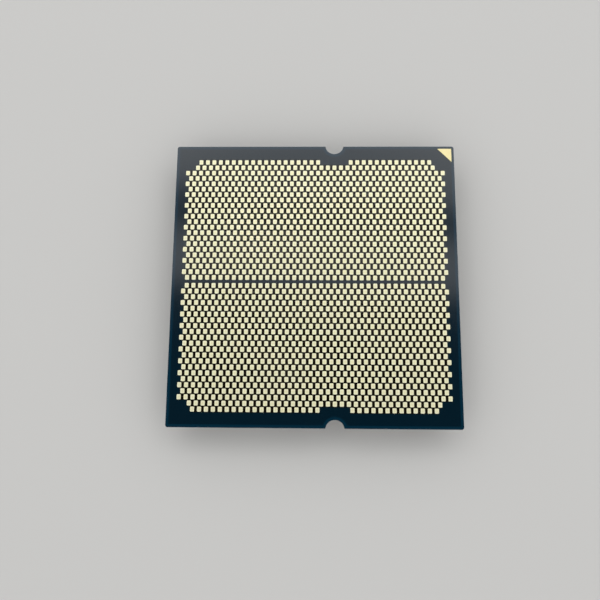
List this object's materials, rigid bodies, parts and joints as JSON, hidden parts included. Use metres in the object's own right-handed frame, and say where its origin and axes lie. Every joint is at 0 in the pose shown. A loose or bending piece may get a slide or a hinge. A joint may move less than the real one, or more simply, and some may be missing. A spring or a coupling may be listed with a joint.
{
  "type": "land grid array processor",
  "caption": "Square computer processor package: a laminate with a grid of flat gold contact lands and two edge notches, dies, chip capacitors and a legged metal heat spreader.",
  "frame": {"origin": "centre of the heat spreader's outer face, on which the processor lies", "axes": "+Z from the heat spreader to the contact lands; +X and +Y along the package's edges, with the marked corner at +X +Y and the two key notches on the edges along X"},
  "size_m": [0.04, 0.04, 0.0048],
  "materials": {
    "nickel_plated_copper": "satin",
    "silicone_adhesive": "matte",
    "indium_solder": "satin",
    "bump_solder": "satin",
    "underfill_resin": "matte",
    "silicon": "polished",
    "capacitor_ceramic": "matte",
    "tin_plating": "satin",
    "copper_foil": "satin",
    "buildup_resin": "satin",
    "glass_epoxy_core": "matte",
    "solder_mask": "satin",
    "gold_plating": "satin"
  },
  "bodies": {
    "root": {"capacitor_bodies_east": "capacitor_ceramic", "capacitor_bodies_north": "capacitor_ceramic", "capacitor_bodies_south": "capacitor_ceramic", "capacitor_bodies_west": "capacitor_ceramic", "capacitor_pads_east": "tin_plating", "capacitor_pads_north": "tin_plating", "capacitor_pads_south": "tin_plating", "capacitor_pads_west": "tin_plating", "capacitor_terminals_east": "tin_plating", "capacitor_terminals_north": "tin_plating", "capacitor_terminals_south": "tin_plating", "capacitor_terminals_west": "tin_plating", "compute_die_left": "silicon", "compute_die_left_bumps": "bump_solder", "compute_die_left_solder_layer": "indium_solder", "compute_die_left_underfill": "underfill_resin", "compute_die_right": "silicon", "compute_die_right_bumps": "bump_solder", "compute_die_right_solder_layer": "indium_solder", "compute_die_right_underfill": "underfill_resin", "contact_lands_lower_bank": "gold_plating", "contact_lands_upper_bank": "gold_plating", "core_laminate": "glass_epoxy_core", "corner_marker_land_side": "gold_plating", "corner_marker_lid_side": "gold_plating", "ground_plane_land_side": "copper_foil", "ground_plane_lid_side": "copper_foil", "heat_spreader": "nickel_plated_copper", "inner_buildup_land_side": "buildup_resin", "inner_buildup_lid_side": "buildup_resin", "io_die": "silicon", "io_die_bumps": "bump_solder", "io_die_solder_layer": "indium_solder", "io_die_underfill": "underfill_resin", "lid_adhesive_pads": "silicone_adhesive", "outer_buildup_land_side": "buildup_resin", "outer_buildup_lid_side": "buildup_resin", "power_plane_land_side": "copper_foil", "power_plane_lid_side": "copper_foil", "solder_mask_land_side": "solder_mask", "solder_mask_lid_side": "solder_mask"}
  },
  "joints": []
}
